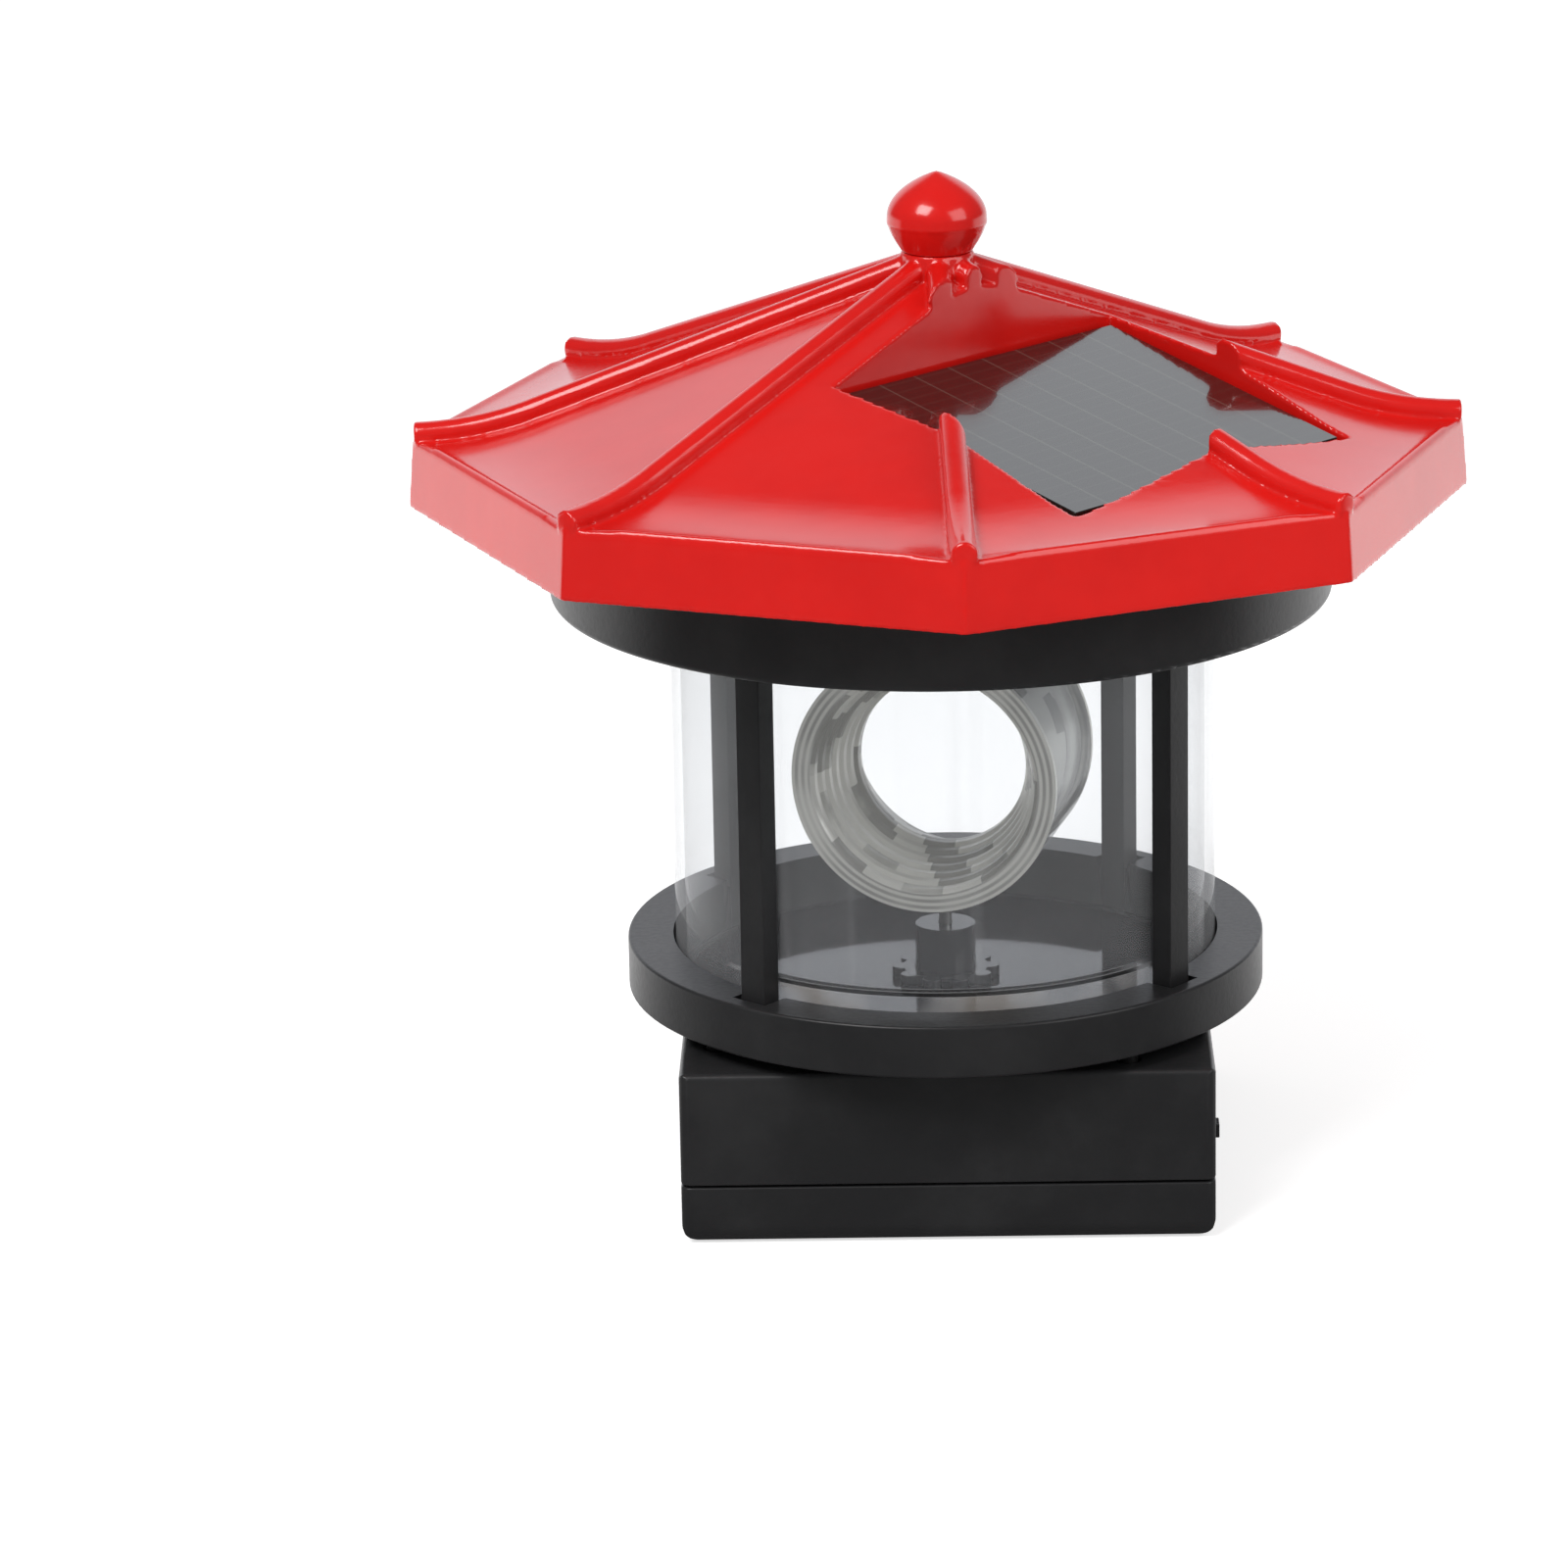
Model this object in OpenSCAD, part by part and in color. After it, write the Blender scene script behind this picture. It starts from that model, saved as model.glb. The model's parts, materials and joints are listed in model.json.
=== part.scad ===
/* [Roof] */
// Roof size across opposite eave corners
roof_across = 120; // [110:1:130]
// How much wider each corner is at the foot of the skirt than at its top
skirt_flare = 0.6; // [0.2:0.1:1.2]
// Height of the eave skirt
skirt_h = 7.6; // [6:0.2:10]
// Thickness of the moulded roof shell
roof_wall = 1.8; // [1.4:0.1:2.4]
// Turn of the roof corners against the base box, in degrees
roof_turn = 2.4; // [0:0.2:6]
// Slope of the straight upper part of each hip, in degrees
hip_slope = 20.3; // [18:0.1:23]
// Slope of a hip where it ends at the eave, in degrees
hip_end_slope = 2.2; // [0.5:0.1:4]
// Radius of the bell-cast sweep of a hip
sweep_r = 39.5; // [34:0.5:46]
// Number of flats in the sweep of each roof face
sweep_steps = 12; // [6:1:16]
// Height of the thin raised line along the eave
eave_line_h = 0.35; // [0.2:0.05:0.6]
// Width of the thin raised line along the eave
eave_line_w = 0.9; // [0.6:0.1:1.4]

/* [Ribs and neck] */
// Radius of the half-round ribs
rib_r = 1.43; // [1.1:0.05:1.7]
// Height of a rib's centre over the top of the skirt
rib_lift = 0.85; // [0.6:0.05:1.1]
// Depth of the roof faces' hip line under the rib's centre
rib_sink = 0.7; // [0.4:0.05:0.9]
// Distance from the turning axis to the upper rib ends
rib_start = 3.4; // [3:0.1:4]
// How far inside the skirt's corner a rib ends
rib_back = 0.25; // [0.15:0.05:0.6]
// Radius of the neck under the knob
neck_r = 4.1; // [3.8:0.1:4.6]
// Height of the neck over the ribs' meeting point
neck_h = 1.75; // [1.4:0.05:2.4]

/* [Finial] */
// Largest radius of the onion knob
knob_r = 5.65; // [5:0.05:6.2]
// Height of the widest part over the neck
knob_mid = 3.9; // [3.4:0.1:4.4]
// Height of the knob
knob_h = 9.1; // [8.4:0.1:10.2]
// Height of the raised mould line
mould_line = 0.12; // [0.08:0.02:0.2]
// Radius of the spigot that holds the knob
spigot_r = 2; // [1.6:0.1:2.3]
// Length of the spigot
spigot_h = 5; // [4:0.5:6]

/* [Solar pocket] */
// Direction of the pocket, measured from the front towards the right, in degrees
pocket_az = 47.4; // [44:0.2:51]
// Distance from the turning axis to the pocket's inner wall
pocket_start = 5.6; // [5:0.1:7]
// Length of the pocket from its inner wall outwards
pocket_l = 35.2; // [32:0.2:36]
// Width of the pocket
pocket_w = 46; // [42:0.5:47]
// Slope of the panel, in degrees
panel_slope = 13.5; // [12:0.5:15]
// Height of the panel's top over the eave, at the pocket's middle
panel_rise = 12.8; // [12.4:0.1:13.6]
// Thickness of the panel laminate
panel_t = 2; // [1.6:0.1:2.4]
// Gap round the panel
panel_gap = 0.9; // [0.5:0.1:1.4]
// Wall thickness of the pocket
pocket_wall = 1.5; // [1.2:0.1:2]

/* [Top plate] */
// Radius of the round dish under the roof
plate_r = 44.4; // [42:0.2:46]
// Thickness of its floor
plate_t = 2.2; // [2:0.1:2.8]
// Thickness of its rim
plate_wall = 1.6; // [1.4:0.1:2.2]
// Depth of the dish
plate_h = 14.4; // [12:0.2:15]
// Distance the dish hangs below the eave
plate_drop = 10.7; // [9:0.1:12]
// Edge radius of the dish
plate_edge = 0.8; // [0.4:0.1:1.2]
// Depth of the groove that holds the clear cylinder
groove_h = 1.2; // [0.8:0.1:1.4]
// Distance from the turning axis to the roof screws
roof_screw_at = 38; // [37:0.2:39]
// Thickness of the pads round the roof screws
pad_h = 1.4; // [1:0.1:2]

/* [Posts and clear cylinder] */
// Free length of the posts between ring and dish
post_free = 40.5; // [36:0.5:46]
// Width of a post along the ring
post_w = 3.4; // [3:0.1:4]
// Depth of a post across the ring
post_d = 2.6; // [2.4:0.1:3]
// Direction of the front right post, in degrees
post_az = 50.5; // [48:0.5:54]
// Width of the tenon on top of a post
tenon_w = 2.6; // [2.4:0.1:2.8]
// Depth of that tenon
tenon_d = 1.6; // [1.5:0.1:1.8]
// Width of the wire duct in the rear left post
duct_w = 1.9; // [1.8:0.05:2]
// Depth of the wire duct
duct_d = 0.95; // [0.9:0.05:1]
// Outer radius of the clear cylinder
shade_r = 31.1; // [29:0.1:31.4]
// Wall of the clear cylinder
shade_wall = 1.2; // [1:0.1:1.6]

/* [Gallery ring and floor] */
// Width of the gallery ring, from its bore to its outer face
ring_w = 5.2; // [4.8:0.1:6.4]
// Height of the gallery ring
ring_h = 6; // [5:0.1:7]
// Edge radius of the ring
ring_edge = 0.35; // [0.2:0.05:0.6]
// Depth of the recess round each post foot
foot_recess = 0.8; // [0.5:0.1:1.2]
// Width of that recess beside the post
foot_margin = 0.7; // [0.5:0.1:1]
// How far the floor plate's rim lies inside the ring's outer face
floor_inset = 1.6; // [1:0.1:1.8]
// Distance of the floor screws from the ring's bore
floor_screw_in = 1.6; // [1.6:0.1:2.4]
// Thickness of the floor plate
floor_t = 1.6; // [1.4:0.1:2]
// Width of the bevel under its rim
floor_bevel = 3.8; // [3.4:0.1:4.2]

/* [Lens drum] */
// Height of the drum's axis over the floor plate
drum_rise = 26.1; // [25.6:0.1:26.4]
// Direction of the drum's open end at rest, in degrees
drum_az = -13.5; // [-20:0.5:0]
// Outer radius of the drum
drum_r = 15.4; // [15:0.1:15.6]
// Half of the drum's length
drum_half = 10; // [9:0.5:12]
// Wall of the drum's sleeve
sleeve_wall = 1.2; // [1:0.1:1.4]
// Radius of the reflector's mouth
mouth_r = 13.2; // [13:0.1:13.4]
// Radius of the reflector's waist
waist_r = 9.8; // [9.4:0.1:10.2]
// Steps in each reflector
reflector_steps = 7; // [5:1:9]
// Wall of the reflectors
reflector_wall = 0.9; // [0.8:0.1:1]
// Thickness of a reflector's flange
flange_t = 0.8; // [0.6:0.1:1]
// Radius of the opening for the lamp
lamp_hole_r = 3.4; // [3.2:0.1:3.8]

/* [Bearing] */
// Radius of the drive shaft
shaft_r = 0.75; // [0.6:0.05:0.8]
// Radius of the bearing tower
tower_r = 3.5; // [3:0.1:4]
// Height of the bearing tower over the floor plate
tower_h = 6.4; // [5.5:0.1:7.2]
// Radius of the tower's spigot through the floor
tower_spigot_r = 2.2; // [2:0.1:2.4]
// Thickness of the star collar
collar_h = 1.2; // [0.8:0.1:1.6]
// Outer radius of the star collar
collar_r = 6.2; // [5.8:0.1:6.6]
// Number of points of the star collar
collar_points = 10; // [8:1:12]

/* [Lamp] */
// Radius of the LED's body
led_r = 2.5; // [2.4:0.05:2.5]
// Length of the LED from its flange to its tip
led_h = 7.7; // [7:0.1:8]
// Radius of the LED's flange
led_flange_r = 2.9; // [2.8:0.05:3]
// Thickness of that flange
led_flange_t = 1; // [0.8:0.1:1.2]
// Outer radius of the LED holder
holder_r = 4.4; // [4.2:0.1:5]
// Distance the holder hangs below the dish
holder_drop = 3.9; // [3.6:0.1:4.1]

/* [Base box] */
// Height of the box with its cover
base_h = 20.2; // [20.2:0.1:22]
// Height of the cover tray
cover_h = 7.1; // [6.5:0.1:8]
// Wall thickness of the box
base_wall = 1.8; // [1.6:0.1:2]
// Radius of the box's lower edges
base_edge = 2.4; // [1.8:0.1:2.8]
// Radius of the box's upright edges
base_corner = 1.2; // [0.8:0.1:2]
// Radius of the box's top edges
base_top_edge = 0.7; // [0.4:0.1:1]
// Height of the seam between cover and housing
seam_h = 0.25; // [0.15:0.05:0.4]
// Radius of the screw bosses in the corners
boss_r = 2.9; // [2.9:0.1:3.1]
// Distance from the outer wall to a corner boss's centre
boss_inset = 4.4; // [4.3:0.1:4.5]

/* [Battery] */
// Diameter of the AA cell
cell_d = 14.5; // [13.8:0.1:14.5]
// Length of the AA cell with its nub
cell_l = 50.5; // [49.5:0.1:50.5]
// Length of the contact spring with the cell in place
spring_room = 4.5; // [4:0.1:6]
// Turns of the contact spring
spring_turns = 4; // [3:1:5]
// Radius of the contact spring
spring_r = 3; // [2.6:0.1:3.4]
// Radius of the spring's wire
spring_wire = 0.3; // [0.25:0.05:0.35]
// Thickness of the contact plates
contact_t = 0.4; // [0.3:0.05:0.5]

/* [Drive] */
// Gear module
gear_mod = 0.5; // [0.48:0.01:0.5]
// Teeth of the output gear on the drive shaft
output_teeth = 36; // [32:4:36]
// Teeth of the idler's wheel
wheel_teeth = 32; // [28:4:32]
// Teeth of both pinions
pinion_teeth = 8; // [8:1:9]
// Direction of the idler from the drive shaft, in degrees from +X
idler_dir = 215; // [212:1:220]
// Direction of the motor from the idler, in degrees from +X
motor_dir = 240; // [236:1:246]
// Radius of the motor
motor_r = 6; // [5:0.1:6.4]
// Height of the motor
motor_h = 8.2; // [7:0.1:8.4]
// Thickness of the gear plate
gear_plate_t = 1.2; // [1:0.1:1.4]
// Thickness of each gear
gear_t = 1.9; // [1.6:0.1:2]

/* [Switch] */
// Distance of the switch in front of the turning axis
switch_at = 17.5; // [15.5:0.5:17.5]
// Height of the switch over the ground
switch_z = 9.4; // [9.3:0.1:11]
// Travel of the switch knob
switch_travel = 3; // [2:0.5:3]
// Width of the switch knob
knob_w = 2.4; // [2:0.1:3]
// Distance the knob stands out of the wall
knob_out = 0.8; // [0.6:0.1:1.2]

/* [Fits and screws] */
// Gap between pieces that are put together by hand
hand_gap = 0.3; // [0.2:0.05:0.35]
// Gap round a glued or pressed tenon
tenon_gap = 0.1; // [0.05:0.01:0.12]
// Radial gap of a running fit
run_gap = 0.05; // [0.03:0.01:0.08]
// Radius of a screw's shank
screw_r = 1.1; // [0.9:0.05:1.2]
// Radius of a screw's head
screw_head_r = 2; // [1.9:0.1:2.1]
// Height of a screw's head
screw_head_h = 1.2; // [1:0.1:1.3]
// Length of a roof or cover screw's shank
screw_l = 8; // [7:0.5:9]
// Radius of an insulated wire
wire_r = 0.4; // [0.3:0.05:0.45]

/* [Hidden] */
$fn = 48;

red = "crimson";
black = [0.09, 0.09, 0.1];
clear = [0.85, 0.9, 0.95, 0.35];
silver = [0.78, 0.78, 0.76];
brass = [0.8, 0.65, 0.3];

// The stack of heights, from the ground up
ring_in = shade_r + hand_gap;
ring_r = ring_in + ring_w;
floor_r = ring_r - floor_inset;
floor_screw_az = post_az - 12.5;
floor_screw_at = ring_in + floor_screw_in;
// The box takes the cell's length, and the heads of the floor screws lie between its walls
base_w = max(cell_l + spring_room + 2 * (hand_gap + contact_t),
             2 * (floor_screw_at * cos(floor_screw_az) + screw_head_r)) + 2 * base_wall;
floor_top = base_h + floor_t;
ring_top = floor_top + ring_h;
plate_z = ring_top + post_free;
plate_top = plate_z + plate_t;
eave_z = plate_z + plate_drop;
skirt_top = eave_z + skirt_h;
drum_z = floor_top + drum_rise;
far = 2 * roof_across;

// Hip line of the roof: a straight slope that runs out in an arc
hip_end_r = roof_across / 2 - skirt_flare - rib_r / cos(22.5);
hip_end_z = skirt_top + rib_lift;
bend_r = hip_end_r - sweep_r * (sin(hip_slope) - sin(hip_end_slope));
bend_z = hip_end_z + sweep_r * (cos(hip_end_slope) - cos(hip_slope));
sweep_x = bend_r + sweep_r * sin(hip_slope);
sweep_z = bend_z + sweep_r * cos(hip_slope);
flat_k = cos(22.5);
function hip_z(r) = r <= bend_r ? bend_z + (bend_r - r) * tan(hip_slope)
    : sweep_z - sqrt(sweep_r * sweep_r - (r - sweep_x) * (r - sweep_x));
neck_z = hip_z(rib_start) + neck_h;

// Outline of one roof face across the eave, from the axis to the skirt's foot
corner_r = roof_across / 2 - skirt_flare;
line_r = hip_end_r - eave_line_w / 2;
face_top = [for (i = [0:sweep_steps])
    let (r = bend_r + (line_r - bend_r) * i / sweep_steps) [flat_k * r, hip_z(r) - rib_sink]];
edge_a = flat_k * corner_r;
edge_z = hip_z(line_r) - rib_sink;
eave_line = [[edge_a - eave_line_w, edge_z], [edge_a - 0.8 * eave_line_w, edge_z + eave_line_h],
             [edge_a - 0.3 * eave_line_w, edge_z + eave_line_h], [edge_a, edge_z - eave_line_h]];
foot = [flat_k * roof_across / 2, eave_z];
face_out = concat([[0, hip_z(0) - rib_sink]], face_top, eave_line, [foot]);
shell_drop = roof_wall / cos(hip_slope);
inner_end = edge_a - roof_wall;
face_in = concat([[0, hip_z(0) - rib_sink - shell_drop]],
    [for (p = face_top) if (p[0] < inner_end) [p[0], p[1] - shell_drop]],
    [[inner_end, edge_z - shell_drop], [foot[0] - roof_wall, eave_z], [foot[0] - roof_wall, eave_z - 1]]);

// Panel and pocket, in the pocket's own direction
pocket_mid = pocket_start + pocket_l / 2;
panel_mid_z = eave_z + panel_rise;
panel_l = (pocket_l - 2 * panel_gap) / cos(panel_slope);
panel_w = pocket_w - 2 * panel_gap;
panel_wire_at = 14;
function panel_under(u) = panel_mid_z + (pocket_mid - u) * tan(panel_slope) - panel_t / cos(panel_slope);

// Posts, ring and clear cylinder
post_at = ring_in + post_d / 2;
post_names = 4;
roof_screw_az = post_az - 45;

// Drum: the cone behind the reflectors' steps, and the shaft's socket under it
sleeve_half = drum_half - flange_t;
step_l = drum_half / reflector_steps;
step_r = (mouth_r - waist_r) / reflector_steps;
waist_out = waist_r + reflector_wall + 0.3 * step_r;
mouth_out = mouth_r + 0.9 * reflector_wall;
cone_l = 0.84 * sleeve_half;
socket_r = 2.2;
socket_top = drum_z - waist_out - socket_r * (mouth_out - waist_out) / cone_l - hand_gap;

// Drive train
pinion_pitch = gear_mod * pinion_teeth / 2;
output_pitch = gear_mod * output_teeth / 2;
wheel_pitch = gear_mod * wheel_teeth / 2;
idler_at = output_pitch + pinion_pitch;
motor_at = wheel_pitch + pinion_pitch;
idler_pos = [idler_at * cos(idler_dir), idler_at * sin(idler_dir)];
motor_pos = idler_pos + [motor_at * cos(motor_dir), motor_at * sin(motor_dir)];
lid_z = base_h - base_wall;
gear_plate_z = base_wall + motor_h + hand_gap;
wheel_z = gear_plate_z + gear_plate_t + hand_gap;
output_z = wheel_z + gear_t + 2 * hand_gap;

// Base box and battery
base_in = base_w / 2 - base_wall;
boss_at = base_w / 2 - boss_inset;
cell_z = base_wall + hand_gap + cell_d / 2;
contact_x = base_in - hand_gap - contact_t;
cell_end = contact_x - cell_l;
spring_x = -base_in + hand_gap + contact_t;
cell_at = boss_at - boss_r - hand_gap - cell_d / 2;
contact_plate = [0.7 * cell_d, 0.62 * cell_d, contact_t];

// Gear plate, its pillars and its screws, in parts of the box's inner half width
pillars = base_in * [[0.5, -0.106], [-0.8, -0.07], [0.106, -0.674]];
plate_outline = base_in * [[-0.9, 0.035], [-0.9, -0.28], [-0.745, -0.71], [-0.46, -0.8], [0.18, -0.8],
                           [0.6, -0.25], [0.6, 0.035], [0.39, 0.125], [-0.5, 0.125]];
pillar_r = 1.9;
plate_screw_r = 0.8;
plate_screw_l = 4.5;
floor_screw_l = floor_top - lid_z + 0.6 * ring_h;

// Switch: its body, the knob's reach into it and the slot that the knob slides in
switch_d = 6;
switch_w = 9;
knob_in = 2.5;
knob_tall = 1.6;
slot_w = knob_w + switch_travel + 2 * hand_gap;
slot_h = knob_tall + 2 * hand_gap;

// Control board
board_l = 36;
board_w = 24;
board_t = 1.6;
standoff_h = 3;
board_z = plate_top + standoff_h;
board_hole = 2.2;
board_grid = board_l / 36;

module at_az(az, r = 0) rotate([0, 0, az]) translate([0, -r, 0]) children();
module ring_of(count, az, r) for (k = [0:count - 1]) at_az(az + k * 360 / count, r) children();
module tube(r_out, r_in, h) difference() {
    cylinder(r = r_out, h = h);
    translate([0, 0, -1]) cylinder(r = r_in, h = h + 2);
}

// ---------- roof ----------
module eight_sided(outline) intersection_for(k = [0:3])
    rotate([0, 0, roof_turn + 22.5 + 45 * k]) rotate([90, 0, 0])
        linear_extrude(height = far, center = true)
            polygon(concat(outline, [for (i = [len(outline) - 1:-1:1]) [-outline[i][0], outline[i][1]]]));

// The rib gets thinner by a hair at each of its joins, which keeps their edges clean
rib_step = 0.01;
module rib() {
    run = (bend_r - rib_start) / cos(hip_slope);
    translate([rib_start, 0, hip_z(rib_start)]) rotate([0, 90 + hip_slope, 0])
        cylinder(r = rib_r, h = run + rib_step * 10);
    translate([sweep_x, 0, sweep_z]) rotate([90, 0, 0]) rotate([0, 0, 270 - hip_slope])
        rotate_extrude(angle = hip_slope - hip_end_slope) translate([sweep_r, 0]) circle(r = rib_r - rib_step);
    translate([hip_end_r, 0, hip_end_z]) rotate([0, 90 + hip_end_slope, 0])
        cylinder(r = rib_r - 2 * rib_step, h = corner_r - rib_back - hip_end_r);
}

// Upright prism over the pocket, grown by a margin
module pocket_column(margin) at_az(pocket_az, pocket_mid)
    translate([-pocket_w / 2 - margin, -pocket_l / 2 - margin, eave_z])
        cube([pocket_w + 2 * margin, pocket_l + 2 * margin, far]);

// Everything under the sloping plane that lies the given depth below the panel's top
module under_panel(depth) at_az(pocket_az, pocket_mid) translate([0, 0, panel_mid_z])
    rotate([panel_slope, 0, 0]) translate([-far / 2, -far / 2, -far - depth]) cube(far);

module roof_boss() translate([0, 0, plate_top + pad_h]) cylinder(r = boss_r, h = 3 * screw_l);

module roof_shell() color(red) difference() {
    union() {
        difference() {
            eight_sided(face_out);
            eight_sided(face_in);
        }
        for (k = [0:7]) rotate([0, 0, roof_turn + 45 * k]) rib();
        translate([0, 0, neck_z - spigot_h - 1.5]) cylinder(r = neck_r, h = spigot_h + 1.5);
        intersection() {
            eight_sided(face_out);
            union() {
                difference() {
                    pocket_column(pocket_wall);
                    under_panel(panel_t + pocket_wall);
                }
                ring_of(4, roof_screw_az, roof_screw_at) roof_boss();
            }
        }
        ring_of(4, roof_screw_az, roof_screw_at) translate([0, 0, plate_top + pad_h])
            cylinder(r = boss_r, h = eave_z - plate_top);
    }
    difference() {
        pocket_column(0);
        under_panel(panel_t);
    }
    translate([0, 0, neck_z - spigot_h]) cylinder(r = spigot_r + tenon_gap, h = far);
    ring_of(4, roof_screw_az, roof_screw_at) translate([0, 0, plate_top])
        cylinder(r = screw_r + run_gap, h = screw_l);
    at_az(pocket_az, panel_wire_at) cylinder(r = 3, h = far);
}

// Radius of the knob under its widest part, and the height that goes with it
knob_foot = 0.96 * neck_r;
function knob_under(a) = [knob_foot + (knob_r - knob_foot) * sin(a), knob_mid * a / 90];
function knob_over(a) = [knob_r * cos(a), knob_mid + (knob_h - knob_mid) * (0.4 * sin(a) + 0.6 * a / 90)];
module finial() color(red) translate([0, 0, neck_z]) {
    rotate_extrude() polygon(concat([[0, 0]], [for (a = [0:9:90]) knob_under(a)],
        [for (a = [7.5:7.5:82.5]) knob_over(a)], [[0, knob_h]]));
    translate([0, 0, knob_under(73)[1]]) cylinder(r = knob_under(73)[0] + mould_line, h = 2.5 * mould_line);
    translate([0, 0, tenon_gap - spigot_h]) cylinder(r = spigot_r, h = spigot_h);
}

module solar_panel() color([0.3, 0.32, 0.31]) at_az(pocket_az, pocket_mid)
    translate([0, 0, panel_mid_z]) rotate([panel_slope, 0, 0])
        translate([-panel_w / 2, -panel_l / 2, -panel_t]) cube([panel_w, panel_l, panel_t]);

// ---------- electronics under the roof ----------
module board_corners() for (x = [-1, 1], y = [-1, 1])
    translate([x * (board_l / 2 - board_hole), y * (board_w / 2 - board_hole), 0]) children();

module control_board() color("darkgreen") difference() {
    translate([-board_l / 2, -board_w / 2, board_z]) cube([board_l, board_w, board_t]);
    for (y = [-1.27, 1.27]) translate([0, y, board_z - 1]) cylinder(r = 0.35, h = board_t + 2);
    board_corners() translate([0, 0, board_z - 1]) cylinder(r = 0.9 + run_gap, h = board_t + 2);
}

module board_parts() color([0.2, 0.2, 0.22]) translate([0, 0, board_z + board_t]) {
    translate(board_grid * [-8, -3, 0]) cube(board_grid * [5, 6, 1.5]);
    translate(board_grid * [8, 4, 0]) cylinder(r = 2.5 * board_grid, h = 3 * board_grid);
    translate(board_grid * [8, -5, 0]) cylinder(r = 2.5 * board_grid, h = 5 * board_grid);
    translate(board_grid * [-13, 5, 0]) cube(board_grid * [2, 3.2, 0.8]);
    translate(board_grid * [2.5, -9, 0]) cube(board_grid * [3.2, 1.6, 0.8]);
}

// ---------- lantern cage ----------
module top_plate() color(black) difference() {
    union() {
        translate([0, 0, plate_z]) rotate_extrude() difference() {
            union() {
                square([plate_r - plate_edge, plate_h]);
                translate([0, plate_edge]) square([plate_r, plate_h - plate_edge]);
                translate([plate_r - plate_edge, plate_edge]) circle(r = plate_edge);
            }
            translate([-1, plate_t]) square([plate_r - plate_wall + 1, plate_h]);
        }
        ring_of(4, roof_screw_az, roof_screw_at) translate([0, 0, plate_z + 1])
            cylinder(r = screw_head_r + 1.5, h = plate_t + pad_h - 1);
        board_corners() {
            translate([0, 0, plate_z + 1]) cylinder(r = 1.7, h = board_z - plate_z - 1);
            translate([0, 0, plate_z + 1]) cylinder(r = 0.9, h = board_z + board_t - plate_z - 1);
        }
    }
    translate([0, 0, plate_z - 1]) tube(shade_r + tenon_gap, shade_r - shade_wall - tenon_gap, groove_h + 1);
    ring_of(4, post_az, post_at) translate([0, 0, plate_z + plate_t / 2])
        cube([tenon_w + 2 * tenon_gap, tenon_d + 2 * tenon_gap, plate_t + 2], center = true);
    ring_of(4, roof_screw_az, roof_screw_at) translate([0, 0, plate_z - 1]) {
        cylinder(r = screw_head_r + hand_gap, h = screw_head_h + 1.2);
        cylinder(r = screw_r + hand_gap, h = far);
    }
    translate([0, 0, plate_z - 1]) cylinder(r = holder_r - 0.8 + tenon_gap, h = plate_t + 2);
}

module post_body() {
    translate([-post_w / 2, -post_d / 2, floor_top]) cube([post_w, post_d, plate_z - floor_top]);
    translate([-tenon_w / 2, -tenon_d / 2, plate_z - 1]) cube([tenon_w, tenon_d, plate_t + 1]);
}
module post(k) color(black) at_az(post_az + 90 * k, post_at) post_body();
module post_front_right() post(0);
module post_front_left() post(-1);
module post_rear_right() post(1);
module post_rear_left() color(black) at_az(post_az + 180, post_at) difference() {
    post_body();
    translate([0, 0, floor_top - 1]) linear_extrude(height = far) {
        square([duct_w - duct_d, duct_d], center = true);
        for (s = [-1, 1]) translate([s * (duct_w - duct_d) / 2, 0]) circle(r = duct_d / 2);
    }
}

module clear_shade() color(clear) translate([0, 0, floor_top])
    tube(shade_r, shade_r - shade_wall, plate_z + groove_h - tenon_gap - floor_top);

module gallery_ring() color(black) difference() {
    translate([0, 0, floor_top]) rotate_extrude() {
        translate([ring_in, 0]) square([ring_r - ring_edge - ring_in, ring_h]);
        translate([ring_in, ring_edge]) square([ring_r - ring_in, ring_h - 2 * ring_edge]);
        for (z = [ring_edge, ring_h - ring_edge]) translate([ring_r - ring_edge, z]) circle(r = ring_edge);
    }
    ring_of(4, post_az, post_at) {
        translate([-post_w / 2 - tenon_gap, -post_d / 2 - tenon_gap, floor_top - 1])
            cube([post_w + 2 * tenon_gap, post_d + 2, ring_h + 2]);
        translate([-post_w / 2 - foot_margin, -post_d / 2 - foot_margin, ring_top - foot_recess])
            cube([post_w + 2 * foot_margin, post_d + foot_margin + 1, ring_h]);
    }
    ring_of(4, floor_screw_az, floor_screw_at) translate([0, 0, floor_top - 1])
        cylinder(r = screw_r + run_gap, h = 0.7 * ring_h + 1);
}

module wire_hole(z, h) at_az(post_az + 180, post_at) translate([0, 0, z]) cylinder(r = 1.3, h = h);

module lantern_floor() color(black) difference() {
    translate([0, 0, base_h]) rotate_extrude() polygon([[0, 0], [floor_r - floor_bevel, 0],
        [floor_r, 0.75 * floor_t], [floor_r, floor_t], [0, floor_t]]);
    translate([0, 0, base_h - 1]) cylinder(r = tower_spigot_r + tenon_gap, h = floor_t + 2);
    ring_of(4, floor_screw_az, floor_screw_at) translate([0, 0, base_h - 1])
        cylinder(r = screw_r + run_gap, h = floor_t + 2);
    wire_hole(base_h - 1, floor_t + 2);
}

// ---------- bearing and lens drum ----------
module bearing_tower() color(black) difference() {
    union() {
        translate([0, 0, floor_top]) cylinder(r = tower_r, h = tower_h);
        translate([0, 0, lid_z]) cylinder(r = tower_spigot_r, h = floor_top - lid_z + 1);
    }
    translate([0, 0, lid_z - 1]) cylinder(r = shaft_r + run_gap, h = far);
}

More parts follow.
